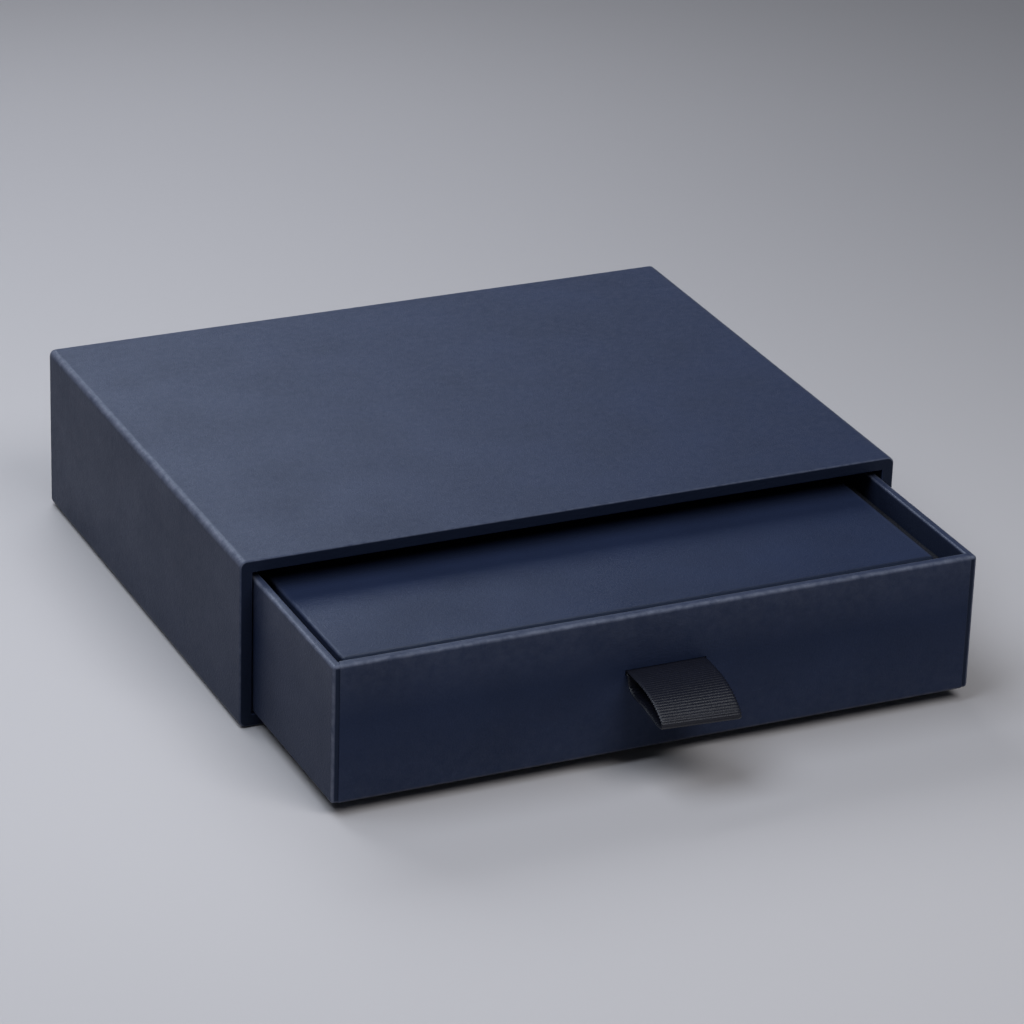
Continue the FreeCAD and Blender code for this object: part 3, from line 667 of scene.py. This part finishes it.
def facing(material):
    """The front flap: hem, front, rim and inside, with thin cut ends."""
    low, high = box["drawer_front_facing"]
    wrap_low = box["drawer_wrap"][0]
    thick = wrap_low.y - low.y
    wall = box["drawer_left_board"][1].x - wrap_low.x + PAPER
    inside = wrap_low.y + wall + thick
    path = rounded([
        (high.y, low.z),
        (low.y, low.z, DRAWER_EDGE + thick, FOOT_WEAR_AND_HIGHLIGHT),
        (low.y, slit_low.z),
        (low.y, slit_high.z),
        (low.y, high.z, DRAWER_EDGE + thick, RIM_WEAR_AND_HIGHLIGHT),
        (inside, high.z, RIM_INNER_EDGE + thick, RIM_WEAR_AND_HIGHLIGHT),
        (inside, box["drawer_lining"][1].z),
    ])
    taper = (wall + FACING_CLEARANCE - FACING_INSET) / (thick + wall)
    places = stations(high.x, (slit_low.x, slit_high.x))
    last = len(path) - 1
    points, edges = [], []
    for number, (y, z, edge) in enumerate(path):
        ahead = Vector(path[min(number + 1, last)][:2])
        behind = Vector(path[max(number - 1, 0)][:2])
        heading = (ahead - behind).normalized()
        under = Vector((0, heading.y, -heading.x)) * thick
        run = high.x - (y - low.y) * taper
        row = [Vector((x, y, z)) for x in drawn_in(places, run, slit_high.x)]
        points += [row[0] + under, *row, row[-1] + under]
        edges += [edge] * (len(row) + 2)
    faces = kept(lattice(len(path), len(points) // len(path), False), points, in_slit)
    thing = tidy_mesh("drawer_front_facing_paper", points, faces, material, edges)
    waving(thing, *WAVE)
    return thing


def ribbon_stops():
    """Points on the ribbon's outer face, each with its heading."""
    low, high = box["pull_ribbon"]
    front = box["drawer_front_facing"][0].y
    reach = front - low.y
    wall = high.y - PLIES
    upper, lower = high.z, high.z - PLIES
    stops = [((high.y, low.z), 90), ((high.y, upper - FOLD - PLIES), 90),
             ((wall - FOLD, upper), 0), ((front, upper), 0)]
    for out, down, turn in UPPER_PLY_SHARES + TIP_SHARES + LOWER_PLY_SHARES:
        stops.append(((front - out * reach, upper - down * PULL_DROP), turn))
    stops += [((front, lower), -180), ((wall - FOLD, lower), -180),
              ((wall, lower - FOLD), -90), ((wall, low.z), -90)]
    return stops


def between(start, end, share):
    """A point between two stops, leaving and arriving on their headings."""
    (here, turn), (there, last_turn) = start, end
    chord = math.dist(here, there)
    leave = Vector((-math.cos(math.radians(turn)), math.sin(math.radians(turn)))) * chord
    arrive = Vector((-math.cos(math.radians(last_turn)), math.sin(math.radians(last_turn)))) * chord
    square, cube = share ** 2, share ** 3
    return (Vector(here) * (2 * cube - 3 * square + 1) + leave * (cube - 2 * square + share)
            + Vector(there) * (3 * square - 2 * cube) + arrive * (cube - square))


def even_steps(line, step):
    """The points of a line at even distances along it."""
    result, gone, target = [line[0]], 0.0, step
    for start, end in zip(line, line[1:]):
        run = (end - start).length
        while gone + run >= target:
            result.append(start.lerp(end, (target - gone) / run))
            target += step
        gone += run
    return result


def ribbon_line():
    """The outer face's line, at several steps to a rib."""
    stops = ribbon_stops()
    line = [between(start, end, step / LINE_STEPS)
            for start, end in zip(stops, stops[1:]) for step in range(LINE_STEPS)]
    return even_steps([*line, Vector(stops[-1][0])], RIB / RIB_STEPS)


def pull_ribbon(material):
    """Grosgrain: round ribs across the ribbon on both faces, and a thin
    selvedge where they end in small loops. Also gives the strip's length."""
    low, high = box["pull_ribbon"]
    front = box["drawer_front_facing"][0].y
    half = (high.x - low.x) / 2
    centre_x = (high.x + low.x) / 2
    inner = [column * 2 / RIBBON_COLUMNS - 1 for column in range(1, RIBBON_COLUMNS)]
    rim = [-1.0, SELVEDGE / half / 2 - 1, SELVEDGE / half - 1]
    columns = rim + inner + [-column for column in reversed(rim)]
    line = ribbon_line()
    last = len(line) - 1
    points, core = [], []
    for number, spot in enumerate(line):
        heading = (line[min(number + 1, last)] - line[max(number - 1, 0)]).normalized()
        out = Vector((0, heading.y, -heading.x))
        centre = Vector((centre_x, spot.x, spot.y)) - out * (RIBBON / 2)
        core.append(centre)
        skew = PULL_SKEW * max(0.0, (front - spot.x) / (front - low.y)) ** 2
        phase = 2 * math.pi * number / RIB_STEPS
        groove = RIB_HEIGHT * (1 - abs(math.cos(phase / 2)) ** RIB_ROUNDNESS)
        loop = LOOP * (0.5 + 0.5 * math.cos(phase))
        for side, across in ((1, columns), (-1, reversed(columns))):
            for column in across:
                body = min(1.0, (1 - abs(column)) * half / SELVEDGE)
                fullness = SELVEDGE_THICKNESS_SHARE + (1 - SELVEDGE_THICKNESS_SHARE) * body
                depth = groove * (SELVEDGE_RIB_SHARE + (1 - SELVEDGE_RIB_SHARE) * body)
                thick = RIBBON / 2 * fullness - depth
                at_end = abs(column) == 1.0
                reach = column * (half - (loop if at_end else 0.0))
                lift = Vector((reach, 0, skew * (0.5 - reach / half / 2)))
                lip = SELVEDGE_LIP_SHARE if at_end else 1.0
                points.append(centre + lift + out * (side * thick * lip))
    width = 2 * len(columns)
    faces = lattice(len(line), width, True)
    for first in (0, last * width):
        faces += [(first + column, first + column + 1, first + width - 2 - column, first + width - 1 - column)
                  for column in range(len(columns) - 1)]
    length = sum((end - start).length for start, end in zip(core, core[1:]))
    return tidy_mesh("pull_ribbon_grosgrain", points, faces, material), length


def foam_base(material):
    """Plain foam on the drawer's floor."""
    low, high = box["foam_base_layer"]
    centre = middle(low, high)
    half_wide, half_deep, _ = halves(low, high)
    path = rounded([(half_deep, low.z), (0, low.z, FOAM_EDGE, 0.0), (0, high.z, FOAM_EDGE, 0.0),
                    (half_deep, high.z)])
    thing = skin("foam_base_pad", half_wide, half_deep, FOAM_EDGE, path,
                 lambda x, y, along: Vector((x, centre.y + y, along)), material)
    waving(thing, *FOAM_WAVE, FOAM_SINK_SHARE)
    return thing


def reach_of_box(along, half):
    """How far a rectangle's side is from its middle in a direction."""
    return min(size / share for size, share in zip(half, along) if share)


def reach_of_pocket(along, half):
    """How far the pocket's wall is from its middle in a direction: a rounded
    rectangle with a round notch at each end."""
    flat = reach_of_box(along, half)
    hub = half - Vector((POCKET_RADIUS, POCKET_RADIUS))
    if along.x * flat > hub.x and along.y * flat > hub.y:
        nearest = along.dot(hub)
        flat = nearest + math.sqrt(max(nearest ** 2 - hub.dot(hub) + POCKET_RADIUS ** 2, 0))
    nearest = along.x * half.x
    inside = nearest ** 2 - half.x ** 2 + NOTCH_RADIUS ** 2
    return max(flat, nearest + math.sqrt(inside)) if inside > 0 else flat


def foam_cut(material):
    """Foam with the die-cut pocket: rings up the outside, over the top, down
    the pocket's wall and back underneath."""
    low, high = box["foam_cut_layer"]
    centre = middle(low, high)
    half = Vector(halves(low, high)[:2])
    pocket = half - Vector((POCKET_END_BORDER, POCKET_SIDE_BORDER))
    corner = math.atan2(half.y, half.x)
    turns = [2 * math.pi * step / FOAM_TURNS for step in range(FOAM_TURNS)]
    turns = sorted(turns + [corner, math.pi - corner, math.pi + corner, 2 * math.pi - corner])
    levels = [low.z + (high.z - FOAM_EDGE - low.z) * step / FOAM_WALL_STEPS
              for step in range(FOAM_WALL_STEPS + 1)]
    rows = [(0, 0, level) for level in levels]
    rows += [(0, -FOAM_EDGE_EASE, high.z - FOAM_EDGE_EASE), (0, -FOAM_EDGE, high.z)]
    rows += [(step / FOAM_TOP_STEPS, 0, high.z) for step in range(1, FOAM_TOP_STEPS)]
    rows += [(1, FOAM_EDGE, high.z), (1, FOAM_EDGE_EASE, high.z - FOAM_EDGE_EASE)]
    rows += [(1, 0, level) for level in reversed(levels)]
    rows += [(1 - step / FOAM_TOP_STEPS, 0, low.z) for step in range(1, FOAM_TOP_STEPS + 1)]
    points = []
    for share, further, level in rows:
        for turn in turns:
            along = Vector((math.cos(turn), math.sin(turn)))
            ahead = Vector((abs(along.x), abs(along.y)))
            outer, inner = reach_of_box(ahead, half), reach_of_pocket(ahead, pocket)
            spot = along * (outer + (inner - outer) * share + further)
            points.append(Vector((spot.x, centre.y + spot.y, level)))
    thing = tidy_mesh("foam_cut_pad", points, lattice(len(rows), len(turns), True), material)
    waving(thing, *FOAM_WAVE, FOAM_SINK_SHARE)
    return thing


# Studio


def lamp(name, place, wide, deep, power, colour):
    """A rectangular soft light turned to the lit point."""
    data = bpy.data.lights.new(name, "AREA")
    data.shape = "RECTANGLE"
    data.size = wide
    data.size_y = deep
    data.energy = power
    data.color = colour
    light = bpy.data.objects.new(name, data)
    light.location = place
    light.rotation_euler = (Vector(LIT_POINT) - Vector(place)).to_track_quat("-Z", "Y").to_euler()
    light.visible_camera = False
    bpy.context.scene.collection.objects.link(light)


def surroundings():
    """Dim light from all round; the camera alone sees the pale backdrop."""
    world = bpy.data.worlds.new("surroundings")
    world.use_nodes = True
    tree = world.node_tree
    dim = tree.nodes["Background"]
    dim.inputs["Color"].default_value, dim.inputs["Strength"].default_value = SURROUNDINGS
    pale = tree.nodes.new("ShaderNodeBackground")
    pale.inputs["Color"].default_value = tone(BACKDROP)
    seen = tree.nodes.new("ShaderNodeLightPath").outputs["Is Camera Ray"]
    blend = tree.nodes.new("ShaderNodeMixShader")
    for socket, output in zip(blend.inputs, (seen, dim.outputs[0], pale.outputs[0])):
        tree.links.new(output, socket)
    tree.links.new(blend.outputs[0], tree.nodes["World Output"].inputs["Surface"])
    bpy.context.scene.world = world


def studio():
    """Pale floor, large soft lights and dim surroundings."""
    mesh = bpy.data.meshes.new("studio_floor")
    corners = [(-FLOOR_SIZE, -FLOOR_SIZE, 0), (FLOOR_SIZE, -FLOOR_SIZE, 0),
               (FLOOR_SIZE, FLOOR_SIZE, 0), (-FLOOR_SIZE, FLOOR_SIZE, 0)]
    mesh.from_pydata(corners, [], [(0, 1, 2, 3)])
    mesh.materials.append(floor_material())
    floor = bpy.data.objects.new("studio_floor", mesh)
    bpy.context.scene.collection.objects.link(floor)
    for name, settings in LAMPS.items():
        lamp(name, *settings)
    surroundings()
    bpy.context.scene.view_settings.view_transform = "Standard"


def dress(thing, body, replaced):
    """Rides on its body and stands in for a CAD node, which it hides."""
    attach(thing, body)
    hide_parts(replaced)
    return thing


make_camera()
navy_paper = paper_material("navy_paper", NAVY, *OUTER_FINISH)
inner_paper = paper_material("inner_paper", LINING, *INNER_FINISH)
ribbon_cloth = ribbon_material()
black_foam = foam_material()
slots = {"cover_paper": navy_paper, "lining_paper": inner_paper, "greyboard": board_material(),
         "grosgrain": ribbon_cloth, "foam": black_foam}
for row in frame["record"]["subparts"]:
    mesh = nodes[row["node"]].data
    mesh.materials.clear()
    mesh.materials.append(slots[row["material_slot"]])

dress(sleeve_cover(navy_paper), "sleeve", "sleeve_wrap")
dress(drawer_cover(navy_paper), "drawer", "drawer_wrap")
dress(facing(navy_paper), "drawer", "drawer_front_facing")
dress(cover_panel(navy_paper), "drawer", "cover_wrap")
ribbon, ribbon_length = pull_ribbon(ribbon_cloth)
dress(ribbon, "drawer", "pull_ribbon")
dress(foam_base(black_foam), "drawer", "foam_base_layer")
dress(foam_cut(black_foam), "drawer", "foam_cut_layer")
studio()
